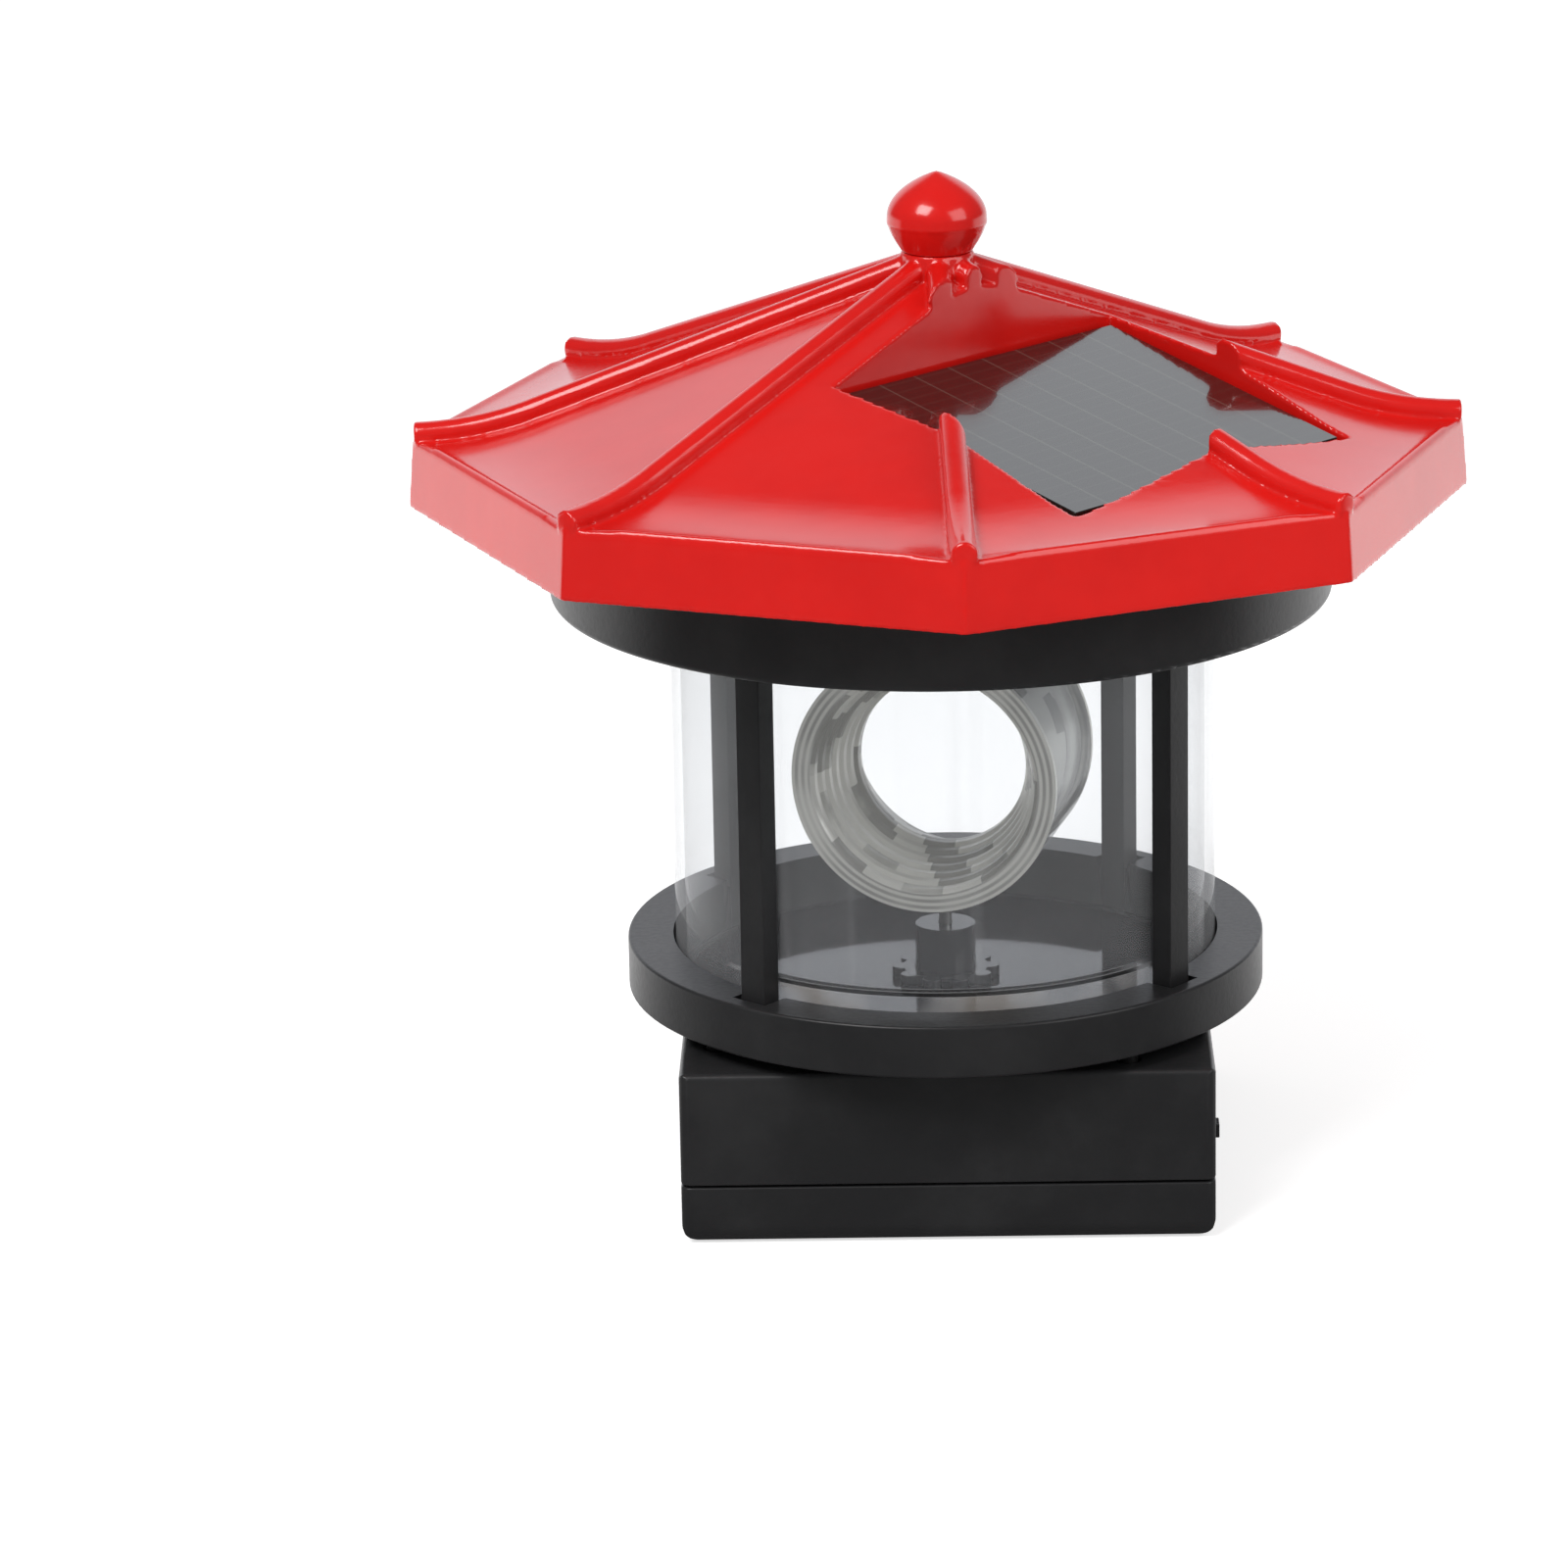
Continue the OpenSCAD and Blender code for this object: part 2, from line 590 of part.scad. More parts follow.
module star_collar() color(black) translate([0, 0, floor_top]) linear_extrude(height = collar_h)
    difference() {
        union() {
            circle(r = 0.8 * collar_r);
            for (k = [0:collar_points - 1]) rotate(k * 360 / collar_points)
                translate([0.82 * collar_r, 0]) circle(r = 0.18 * collar_r);
        }
        circle(r = tower_r + run_gap);
    }

module drive_shaft() color("silver") translate([0, 0, gear_plate_z + 0.2])
    cylinder(r = shaft_r, h = socket_top - hand_gap - gear_plate_z - 0.2);

// Lays a piece that is drawn along +Z down on the drum's axis, with its top towards the open front end
module on_drum_axis() translate([0, 0, drum_z]) rotate([0, 0, drum_az]) rotate([90, 0, 0]) children();
module lamp_hole() translate([0, 0, drum_z]) cylinder(r = lamp_hole_r, h = far);

module lens_barrel() color(clear) difference() {
    union() {
        on_drum_axis() translate([0, 0, -sleeve_half]) tube(drum_r, drum_r - sleeve_wall, 2 * sleeve_half);
        translate([0, 0, drum_z - drum_r + sleeve_wall / 2])
            cylinder(r = socket_r, h = socket_top - drum_z + drum_r - sleeve_wall / 2);
    }
    translate([0, 0, drum_z - drum_r - 1])
        cylinder(r = shaft_r, h = socket_top - hand_gap - drum_z + drum_r + 1);
    lamp_hole();
}

// Half of the drum's inside: a flared reflector with a step for each ring of light
module reflector() difference() {
    rotate_extrude() polygon(concat(
        [for (i = [0:reflector_steps - 1]) each [[waist_r + i * step_r, i * step_l],
            [waist_r + (i + 0.15) * step_r, (i + 0.62) * step_l]]],
        [[mouth_r, drum_half], [drum_r, drum_half], [drum_r, sleeve_half],
         [drum_r - sleeve_wall - tenon_gap, sleeve_half],
         [mouth_out, cone_l], [waist_out, 0]]));
}
module front_reflector() color(silver) difference() {
    on_drum_axis() reflector();
    lamp_hole();
}
module rear_reflector() color(silver) difference() {
    on_drum_axis() mirror([0, 0, 1]) reflector();
    lamp_hole();
}

// ---------- lamp ----------
led_seat = plate_z - holder_drop + 1.2;
module led() color("white") translate([0, 0, led_seat]) {
    cylinder(r = led_flange_r, h = led_flange_t);
    translate([0, 0, led_r - led_h]) cylinder(r = led_r, h = led_h - led_r + 0.5);
    translate([0, 0, led_r - led_h]) sphere(r = led_r);
    for (y = [-1.27, 1.27]) translate([0, y, 0]) cylinder(r = 0.25, h = board_z + board_t + 0.8 - led_seat);
}

module led_holder() color(black) translate([0, 0, plate_z - holder_drop]) difference() {
    union() {
        cylinder(r = holder_r, h = holder_drop);
        cylinder(r = holder_r - 0.8, h = holder_drop + plate_t);
    }
    translate([0, 0, -1]) cylinder(r = led_r + tenon_gap, h = far);
    translate([0, 0, 1.2]) cylinder(r = led_flange_r + tenon_gap, h = far);
}

// ---------- base box ----------
// Rounded rectangle, drawn from exact arcs
module soft_rect(w, h, r) {
    square([w - 2 * r, h], center = true);
    square([w, h - 2 * r], center = true);
    for (x = [-1, 1], y = [-1, 1]) translate([x * (w / 2 - r), y * (h / 2 - r)]) circle(r = r);
}
module upright(z, h, grow = 0) translate([0, 0, z]) linear_extrude(height = h)
    soft_rect(base_w + 2 * grow, base_w + 2 * grow, base_corner);
module soft_bottom() rotate([90, 0, 0]) linear_extrude(height = far, center = true)
    translate([0, far / 2]) soft_rect(base_w, far, base_edge);
module soft_top() rotate([90, 0, 0]) linear_extrude(height = far, center = true)
    translate([0, base_h - far / 2]) soft_rect(base_w, far, base_top_edge);
module corners(d) for (x = [-1, 1], y = [-1, 1]) translate([x * d, y * d, 0]) children();

module base_housing() color(black) difference() {
    union() {
        difference() {
            intersection() {
                upright(cover_h, base_h - cover_h);
                soft_top();
                rotate([0, 0, 90]) soft_top();
            }
            translate([-base_in, -base_in, cover_h - 1]) cube([2 * base_in, 2 * base_in, lid_z - cover_h + 1]);
        }
        corners(boss_at) translate([0, 0, cover_h]) cylinder(r = boss_r, h = lid_z - cover_h + 0.5);
        for (p = pillars) translate([p[0], p[1], gear_plate_z + gear_plate_t])
            cylinder(r = pillar_r, h = lid_z + 0.5 - gear_plate_z - gear_plate_t);
    }
    corners(boss_at) translate([0, 0, cover_h - 1]) cylinder(r = screw_r + run_gap, h = screw_l);
    for (p = pillars) translate([p[0], p[1], gear_plate_z])
        cylinder(r = plate_screw_r + run_gap, h = plate_screw_l + 0.5);
    translate([0, 0, lid_z - 1]) cylinder(r = tower_spigot_r + tenon_gap, h = far);
    translate([idler_pos[0], idler_pos[1], lid_z - 1]) cylinder(r = shaft_r + run_gap, h = 1.8);
    ring_of(4, floor_screw_az, floor_screw_at) translate([0, 0, lid_z - 1])
        cylinder(r = screw_r + hand_gap, h = far);
    wire_hole(lid_z - 1, far);
    // shallow finger recess and slot for the switch knob
    translate([base_w / 2 - 0.8, -switch_at - slot_w / 2 - 1.2, switch_z - slot_h / 2 - 0.6])
        cube([5, slot_w + 2.4, slot_h + 1.2]);
    translate([base_in - 1, -switch_at - slot_w / 2, switch_z - slot_h / 2]) cube([5, slot_w, slot_h]);
}

cover_seat = 3;
module base_cover() color(black) difference() {
    union() {
        difference() {
            intersection() {
                upright(0, cover_h - seam_h);
                soft_bottom();
                rotate([0, 0, 90]) soft_bottom();
            }
            translate([-base_in, -base_in, base_wall]) cube([2 * base_in, 2 * base_in, cover_h]);
        }
        corners(boss_at) translate([0, 0, 0.5]) cylinder(r = boss_r, h = cover_h - 0.5);
        // locating lips inside the housing
        for (a = [0, 180]) rotate([0, 0, a]) translate([-18, base_in - 1 - hand_gap / 2, base_wall - 0.5])
            cube([36, 1, cover_h + 1 - base_wall]);
        // saddles under the battery
        for (x = [-14, 18]) translate([x - 0.8, cell_at - 7, base_wall - 0.5])
            cube([1.6, 14, cell_z - base_wall - 2]);
    }
    corners(boss_at) {
        translate([0, 0, -1]) cylinder(r = screw_head_r + hand_gap, h = cover_seat + 1);
        translate([0, 0, -1]) cylinder(r = screw_r + hand_gap, h = far);
    }
    translate([0, cell_at, cell_z]) rotate([0, 90, 0])
        cylinder(r = cell_d / 2 + tenon_gap, h = 2 * base_in - 2, center = true);
}

module screw(l) {
    cylinder(r = screw_r, h = l);
    translate([0, 0, -screw_head_h]) difference() {
        cylinder(r = screw_head_r, h = screw_head_h);
        for (a = [0, 90]) rotate([0, 0, a]) translate([-1.2, -0.25, -0.4]) cube([2.4, 0.5, 1]);
    }
}
module roof_screws() color("silver") ring_of(4, roof_screw_az, roof_screw_at)
    translate([0, 0, plate_z + screw_head_h + 0.2]) screw(screw_l);
module cover_screws() color("silver") corners(boss_at) translate([0, 0, cover_seat]) screw(screw_l);
module floor_screws() color("silver") ring_of(4, floor_screw_az, floor_screw_at)
    translate([0, 0, lid_z]) screw(floor_screw_l);
module plate_screws() color("silver") for (p = pillars) translate([p[0], p[1], gear_plate_z]) {
    cylinder(r = plate_screw_r, h = plate_screw_l);
    translate([0, 0, -plate_screw_r]) cylinder(r = 1.9 * plate_screw_r, h = plate_screw_r);
}

// ---------- battery ----------
module along_cell(x) translate([x, cell_at, cell_z]) rotate([0, 90, 0]) children();
module battery() color("mediumseagreen") {
    along_cell(cell_end) cylinder(r = cell_d / 2, h = cell_l - 1);
    along_cell(contact_x - 1.5) cylinder(r = 2.75, h = 1.5);
}
module battery_spring() color("silver") {
    along_cell(spring_x - contact_t) contact_sheet();
    pitch = (cell_end - spring_x - 2 * spring_wire) / spring_turns;
    along_cell(spring_x + spring_wire) helix(spring_r, spring_wire, pitch, spring_turns);
}
module battery_contact() color("silver") along_cell(contact_x) contact_sheet();
module contact_sheet() translate([-contact_plate[0] / 2, -contact_plate[1] / 2, 0]) cube(contact_plate);

// Round wire swept along a helix, six-sided, with sixteen rings a turn
module helix(r, wire, pitch, turns) {
    n = 16 * turns;
    s = 6;
    pts = [for (i = [0:n], j = [0:s - 1]) let (a = 360 * i / 16, b = 360 * j / s, q = r + wire * cos(b))
        [q * cos(a), q * sin(a), pitch * i / 16 + wire * sin(b)]];
    sides = [for (i = [0:n - 1], j = [0:s - 1]) let (k = (j + 1) % s)
        each [[i * s + j, (i + 1) * s + k, (i + 1) * s + j], [i * s + j, i * s + k, (i + 1) * s + k]]];
    caps = [[for (j = [s - 1:-1:0]) j], [for (j = [0:s - 1]) n * s + j]];
    polyhedron(points = pts, faces = concat(sides, caps), convexity = 6);
}

// ---------- drive ----------
function involute(x) = tan(x) * 180 / PI - x;
// Half of a tooth's angle at a radius, for a gear of the given teeth
function half_tooth(teeth, r) = let (p = gear_mod * teeth / 2, b = p * cos(20))
    (90 / teeth) - run_gap / p * 90 / PI + involute(20) - (r > b ? involute(acos(b / r)) : 0);
module gear(teeth, h, turn) {
    p = gear_mod * teeth / 2;
    radii = [p - 1.1 * gear_mod, max(p * cos(20), p - 0.6 * gear_mod), p, p + 0.75 * gear_mod];
    rotate([0, 0, turn]) linear_extrude(height = h) polygon([for (i = [0:teeth - 1], s = [-1, 1], j = [0:3])
        let (r = radii[s < 0 ? j : 3 - j], a = 360 * i / teeth + s * half_tooth(teeth, r))
        [r * cos(a), r * sin(a)]]);
}
module output_gear() color("white") translate([0, 0, output_z]) difference() {
    union() {
        gear(output_teeth, gear_t, idler_dir);
        cylinder(r = 2.4, h = lid_z - hand_gap - output_z);
    }
    translate([0, 0, -1]) cylinder(r = shaft_r, h = far);
}
module idler_gear() color("white") translate([idler_pos[0], idler_pos[1], wheel_z]) difference() {
    union() {
        gear(wheel_teeth, gear_t, motor_dir);
        gear(pinion_teeth, output_z + gear_t - wheel_z, idler_dir - 180 + 180 / pinion_teeth);
    }
    translate([0, 0, -1]) cylinder(r = shaft_r + run_gap, h = far);
}
module idler_axle() color("silver") translate([idler_pos[0], idler_pos[1], gear_plate_z])
    cylinder(r = shaft_r, h = lid_z + 0.7 - gear_plate_z);
module motor_pinion() color("white") translate([motor_pos[0], motor_pos[1], wheel_z]) difference() {
    gear(pinion_teeth, gear_t, motor_dir - 180 + 180 / pinion_teeth);
    translate([0, 0, -1]) cylinder(r = 0.5 + run_gap, h = far);
}
module motor() color("silver") translate([motor_pos[0], motor_pos[1], 0]) {
    translate([0, 0, base_wall]) cylinder(r = motor_r, h = motor_h);
    translate([0, 0, base_wall + motor_h - 1]) cylinder(r = 2, h = 1 + hand_gap + gear_plate_t / 2);
    translate([0, 0, base_wall + motor_h]) cylinder(r = 0.5, h = wheel_z + gear_t - base_wall - motor_h);
}
module gear_plate() color("ivory") difference() {
    translate([0, 0, gear_plate_z]) linear_extrude(height = gear_plate_t) polygon(plate_outline);
    translate([0, 0, gear_plate_z - 1]) {
        cylinder(r = shaft_r + run_gap, h = 5);
        translate([idler_pos[0], idler_pos[1], 0]) cylinder(r = shaft_r, h = 5);
        translate([motor_pos[0], motor_pos[1], 0]) cylinder(r = 2 + tenon_gap, h = 5);
        for (p = pillars) translate([p[0], p[1], 0]) cylinder(r = plate_screw_r + run_gap, h = 5);
    }
}

// ---------- switch ----------
module switch_body() color([0.25, 0.25, 0.28]) difference() {
    translate([base_in - switch_d, -switch_at - switch_w / 2, switch_z - knob_tall - 0.4])
        cube([switch_d, switch_w, 2 * knob_tall + 1.8]);
    translate([base_in - knob_in, -switch_at - slot_w / 2, switch_z - slot_h / 2]) cube([5, slot_w, slot_h]);
}
module switch_knob() color("black")
    translate([base_in - knob_in + hand_gap, hand_gap - switch_at - slot_w / 2, switch_z - knob_tall / 2]) {
        reach = base_wall + knob_in - hand_gap + knob_out;
        difference() {
            cube([reach, knob_w, knob_tall]);
            for (i = [1:3]) translate([reach - 0.3, i * knob_w / 4 - 0.15, -1]) cube([1, 0.3, 4]);
        }
    }

// ---------- wires ----------
module wire(route) for (i = [0:len(route) - 2]) {
    d = route[i + 1] - route[i];
    translate(route[i]) rotate([0, acos(d[2] / norm(d)), atan2(d[1], d[0])])
        cylinder(r = wire_r, h = norm(d), $fn = 16);
    if (i > 0) translate(route[i]) sphere(r = wire_r + 0.03, $fn = 16);
}
duct = [post_at * sin(post_az + 180), -post_at * cos(post_az + 180)];
along_ring = [cos(post_az + 180), sin(post_az + 180)];
module post_wires() for (s = [-1, 1]) color(s > 0 ? "black" : "red") {
    x = duct[0] + s * along_ring[0] * duct_w / 4;
    y = duct[1] + s * along_ring[1] * duct_w / 4;
    side = cell_at + 4;
    end_x = s > 0 ? spring_x + wire_r + 0.02 : contact_x - wire_r - 0.02;
    low = s > 0 ? lid_z - 1 : cell_z + 6.2;
    wire([[-14.5, 7 - s, board_z + board_t], [-14.5, 7 - s, board_z + board_t + 2 - s],
          [x, y, board_z + board_t + 2 - s], [x, y, low], [end_x, s > 0 ? side : y, low],
          [end_x, side, low - 1], [end_x, side, cell_z + 3]]);
}
module panel_wires() at_az(pocket_az, panel_wire_at) for (s = [-1, 1]) color(s < 0 ? "black" : "red")
    translate([s, 0, board_z + board_t])
        cylinder(r = wire_r, h = panel_under(panel_wire_at) - 0.1 - board_z - board_t, $fn = 16);

roof_shell();
finial();
solar_panel();
control_board();
board_parts();
top_plate();
roof_screws();
post_front_right();
post_front_left();
post_rear_left();
post_rear_right();
clear_shade();
gallery_ring();
lantern_floor();
bearing_tower();
star_collar();
drive_shaft();
lens_barrel();
front_reflector();
rear_reflector();
led();
led_holder();
base_housing();
base_cover();
cover_screws();
floor_screws();
battery();
battery_spring();
battery_contact();
motor();
motor_pinion();
idler_gear();
idler_axle();
output_gear();
gear_plate();
plate_screws();
switch_body();
switch_knob();
post_wires();
panel_wires();
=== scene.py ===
import json
import math
import bpy
from mathutils import Matrix, Vector


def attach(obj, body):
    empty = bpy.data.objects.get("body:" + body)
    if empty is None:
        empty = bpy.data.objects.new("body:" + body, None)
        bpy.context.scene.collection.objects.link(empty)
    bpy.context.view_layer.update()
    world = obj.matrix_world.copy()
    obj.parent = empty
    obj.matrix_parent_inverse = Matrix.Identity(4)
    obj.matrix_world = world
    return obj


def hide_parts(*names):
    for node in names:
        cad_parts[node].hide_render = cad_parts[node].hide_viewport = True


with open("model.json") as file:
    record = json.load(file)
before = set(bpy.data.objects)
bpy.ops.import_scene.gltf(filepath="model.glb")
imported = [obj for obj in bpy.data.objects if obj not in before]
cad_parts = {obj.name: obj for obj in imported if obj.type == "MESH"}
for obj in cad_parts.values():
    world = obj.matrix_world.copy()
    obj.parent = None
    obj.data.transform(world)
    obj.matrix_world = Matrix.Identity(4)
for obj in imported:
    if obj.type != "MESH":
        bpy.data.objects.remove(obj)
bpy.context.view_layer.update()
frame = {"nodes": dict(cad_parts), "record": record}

mm = 0.001
nodes = frame["nodes"]
print("frame loaded")


class Link:  # a shader socket that takes part in Python sums
    def __init__(self, shading, socket):
        self.shading, self.socket = shading, socket

    def __add__(self, other):
        return self.shading.math("ADD", self, other)

    def __radd__(self, other):
        return self.shading.math("ADD", other, self)

    def __sub__(self, other):
        return self.shading.math("SUBTRACT", self, other)

    def __rsub__(self, other):
        return self.shading.math("SUBTRACT", other, self)

    def __mul__(self, other):
        return self.shading.math("MULTIPLY", self, other)

    def __rmul__(self, other):
        return self.shading.math("MULTIPLY", other, self)

    def __truediv__(self, other):
        return self.shading.math("DIVIDE", self, other)

    def __rtruediv__(self, other):
        return self.shading.math("DIVIDE", other, self)

    def __pow__(self, other):
        return self.shading.math("POWER", self, other)

    def __rpow__(self, other):
        return self.shading.math("POWER", other, self)


def socketIn(sockets, name):  # by number, identifier or label
    if isinstance(name, str):
        name = next(i for i, socket in enumerate(sockets) if name in (socket.identifier, socket.name))
    return sockets[name]


def rgba(colour):
    return colour if isinstance(colour, Link) else (*colour, 1)


def spaced(name):  # baseColor -> Base Color
    words = "".join(" " + letter if letter.isupper() else letter for letter in name)
    return (words[0].upper() + words[1:]).replace("I O R", "IOR")


class Shading:  # a node tree, and short ways to add to it
    def __init__(self, tree):
        self.tree = tree

    def plug(self, socket, value):
        if isinstance(value, Link):
            self.tree.links.new(value.socket, socket)
        else:
            socket.default_value = value

    def add(self, kind, settings=None, values=(), out=0):
        node = self.tree.nodes.new("ShaderNode" + kind)
        for name, value in (settings or {}).items():
            setattr(node, name, value)
        for name, value in values.items() if isinstance(values, dict) else enumerate(values):
            self.plug(socketIn(node.inputs, name), value)
        return Link(self, socketIn(node.outputs, out))

    def math(self, operation, *values):
        return self.add("Math", {"operation": operation}, values)

    def beside(self, link, out):  # another output of the node that a link comes from
        return Link(self, link.socket.node.outputs[out])

    def axes(self, where):
        split = self.add("SeparateXYZ", values=(where,))
        return [self.beside(split, i) for i in range(3)]

    def place(self, turn=0.0, centre=(0, 0, 0)):
        where = self.add("TexCoord", out="Object")
        if turn or any(centre):
            turned = {"Vector": where, "Location": centre, "Rotation": (0, 0, math.radians(turn))}
            where = self.add("Mapping", {"vector_type": "TEXTURE"}, turned)
        return where

    def noise(self, where, scale, detail, rough):
        pattern = {"Vector": where, "Scale": scale, "Detail": detail, "Roughness": rough}
        return self.add("TexNoise", {}, pattern, "Fac")

    def span(self, value, low, high, toLow=0.0, toHigh=1.0):  # a soft step from low to high
        limits = {"Value": value, "From Min": low, "From Max": high, "To Min": toLow, "To Max": toHigh}
        return self.add("MapRange", {"interpolation_type": "SMOOTHSTEP"}, limits)

    def blend(self, factor, first, second):
        colours = {"Factor_Float": factor, "A_Color": rgba(first), "B_Color": rgba(second)}
        return self.add("Mix", {"data_type": "RGBA"}, colours, "Result_Color")


class Finish(Shading):  # a material with its Principled shader
    def __init__(self, name, **fixed):
        self.material = bpy.data.materials.new(name)
        self.material.use_nodes = True
        super().__init__(self.material.node_tree)
        self.shader = self.tree.nodes["Principled BSDF"]
        self.feed(**fixed)

    def feed(self, **values):
        for name, value in values.items():
            self.plug(self.shader.inputs[spaced(name)], value)

    def bump(self, height, depth, strength=1.0):
        relief = {"Height": height, "Distance": depth, "Strength": strength}
        self.feed(normal=self.add("Bump", {}, relief, "Normal"))

    def plain(self):  # the Principled shader by itself
        return Link(self, self.shader.outputs[0])

    def surface(self, link):
        self.plug(self.tree.nodes["Material Output"].inputs["Surface"], link)


# finishes: a noise is given by scale, detail and roughness, a soft step by its ends (and its values there)
redSettings = {"colour": (0.74, 0.011, 0.008), "deep": (0.66, 0.008, 0.006), "deepStep": (0.35, 0.7),
               "specular": 0.5, "coat": 0.42, "coatRoughness": 0.12, "roughness": 0.19,
               "grainRoughness": 0.08, "cloudRoughness": 0.06, "cloud": (45.0, 4.0, 0.6),
               "grain": (900.0, 3.0, 0.6), "waves": (160.0, 2.0, 0.5), "grainHeight": 0.2, "depth": 0.00004}


def redPlastic():
    own = redSettings
    finish = Finish("redPlastic", specularIORLevel=own["specular"], coatWeight=own["coat"],
                    coatRoughness=own["coatRoughness"])
    where = finish.place()
    cloud = finish.noise(where, *own["cloud"])
    grain = finish.noise(where, *own["grain"])
    roughness = own["roughness"] + (grain - 0.5) * own["grainRoughness"]
    roughness = roughness + (cloud - 0.5) * own["cloudRoughness"]
    deep = finish.span(cloud, *own["deepStep"])
    finish.feed(baseColor=finish.blend(deep, own["colour"], own["deep"]), roughness=roughness)
    finish.bump(finish.noise(where, *own["waves"]) + grain * own["grainHeight"], own["depth"])
    return finish


blackSettings = {"colour": (0.018, 0.018, 0.019), "dust": (0.027, 0.027, 0.028), "dustStep": (0.4, 0.75),
                 "specular": 0.4, "roughness": 0.34, "grainRoughness": 0.12, "cloud": (60.0, 5.0, 0.6),
                 "grain": (1400.0, 2.0, 0.6), "depth": 0.00002}


def blackPlastic():
    own = blackSettings
    finish = Finish("blackPlastic", specularIORLevel=own["specular"])
    where = finish.place()
    dust = finish.span(finish.noise(where, *own["cloud"]), *own["dustStep"])
    grain = finish.noise(where, *own["grain"])
    finish.feed(baseColor=finish.blend(dust, own["colour"], own["dust"]),
                roughness=own["roughness"] + (grain - 0.5) * own["grainRoughness"])
    finish.bump(grain, own["depth"])
    return finish


glossSettings = {"colour": (0.042, 0.042, 0.048), "cloudy": (0.056, 0.056, 0.063), "specular": 0.8,
                 "roughness": 0.07, "cloudRoughness": 0.1, "cloud": (80.0, 4.0, 0.6),
                 "waves": (60.0, 2.0, 0.5), "depth": 0.00001}


def glossyBlackPlastic():
    own = glossSettings
    finish = Finish("glossyBlackPlastic", specularIORLevel=own["specular"])
    where = finish.place()
    cloud = finish.noise(where, *own["cloud"])
    finish.feed(baseColor=finish.blend(cloud, own["colour"], own["cloudy"]),
                roughness=own["roughness"] + (cloud - 0.5) * own["cloudRoughness"])
    finish.bump(finish.noise(where, *own["waves"]), own["depth"])
    return finish


clearSettings = {"tint": (0.97, 0.975, 0.98), "milk": (0.93, 0.94, 0.96), "roughness": 0.04,
                 "hazeRoughness": 0.05, "facing": 0.28, "edgePower": 2.2, "haze": (70.0, 4.0, 0.6),
                 "drawStretch": (260.0, 260.0, 4.0), "drawn": (1.0, 2.0, 0.4), "drawnStep": (0.60, 0.74),
                 "rearStep": (-0.004, 0.016), "frontStep": (-0.018, -0.024)}
coverSettings = {"all": 0.035, "edge": 0.5, "haze": 0.02, "drawn": 0.05, "rear": 0.03, "foot": 0.45,
                 "groove": 0.75}
# painted foot: a lighter band painted on the front of the cylinder's foot as a painted highlight, with a
# dark line painted above it as painted shade
paintedFootSettings = {"top": 0.0295, "blur": 0.0001, "lowStep": (0.018, 0.02), "tone": (0.34, 0.31, 0.28),
                "patches": (95.0, 2.0, 0.5), "patchStep": (0.38, 0.62), "shadeLineTone": (0.01, 0.01, 0.01),
                "shadeLineFull": 0.0004, "shadeLineEnd": 0.0006}


def clearPlastic():  # a faint cover of milky plastic, milkier on the rear half as painted glare; on the front, a painted highlight on the foot and a painted dark line of shade above it
    own, cover, foot = clearSettings, coverSettings, paintedFootSettings
    finish = Finish("clearPlastic", roughness=own["roughness"])
    film = finish.add("BsdfTransparent", {}, {"Color": rgba(own["tint"])})
    edge = finish.add("LayerWeight", {}, {"Blend": own["facing"]}, "Facing")
    where = finish.place()
    along, up = finish.axes(where)[1:]
    haze = finish.noise(where, *own["haze"])
    stretched = finish.add("Mapping", {}, {"Vector": where, "Scale": own["drawStretch"]})
    drawn = finish.span(finish.noise(stretched, *own["drawn"]), *own["drawnStep"])
    # painted glare: the rear half of the cylinder gets a milkier cover, standing in for glare through the
    # wall
    rear = finish.span(along, *own["rearStep"])
    front = finish.span(along, *own["frontStep"])
    top = foot["top"]
    # painted highlight: the lit foot, painted as a lighter band on the front only
    footHighlight = finish.span(up, top - foot["blur"], top, 1.0, 0.0) * finish.span(up, *foot["lowStep"]) * front
    # painted shade: a dark line painted just above the foot, on the front only
    shadeLineEnd = finish.span(up, top + foot["shadeLineFull"], top + foot["shadeLineEnd"], 1.0, 0.0)
    groove = finish.span(up, top - foot["blur"], top) * shadeLineEnd * front
    patch = finish.span(finish.noise(where, *foot["patches"]), *foot["patchStep"])
    # the milk colour here also carries the painted highlight of the foot
    milk = finish.blend(footHighlight * patch, own["milk"], foot["tone"])
    finish.feed(baseColor=finish.blend(groove, milk, foot["shadeLineTone"]),
                roughness=own["roughness"] + haze * own["hazeRoughness"])
    amount = cover["all"] + edge ** own["edgePower"] * cover["edge"] + haze * cover["haze"]
    amount = amount + drawn * cover["drawn"] + rear * cover["rear"]
    amount = amount + footHighlight * patch * cover["foot"] + groove * cover["groove"]
    finish.surface(finish.add("MixShader", {}, {"Fac": amount, 1: film, 2: finish.plain()}))
    return finish


mirrorSettings = {"bright": (0.93, 0.92, 0.86), "shade": (0.24, 0.235, 0.215), "metallic": 0.15,
                  "roughness": 0.15, "cloudRoughness": 0.12, "azimuth": -13.5, "height": 0.0479,
                  "cloud": (300.0, 3.0, 0.5), "shadeMix": 0.68, "cloudMix": 0.12, "depth": 0.0002,
                  "relief": 0.5}
brickSettings = {"step": 0.00143, "perRadian": 2.7, "shift": 0.17, "spread": 3.1, "ringSpread": 0.5,
                 "layer": 0.3, "noise": (1.0, 0.0, 0.5), "ragged": 0.16, "darkStep": (0.38, 0.50)}
rimSettings = {"edgeStep": (0.0132, 0.01335), "pitch": 0.00038, "lineStep": (0.0001, 0.00028),
               "noise": (120.0, 1.0, 0.5), "noiseStep": (0.3, 0.6, 0.25, 0.9)}


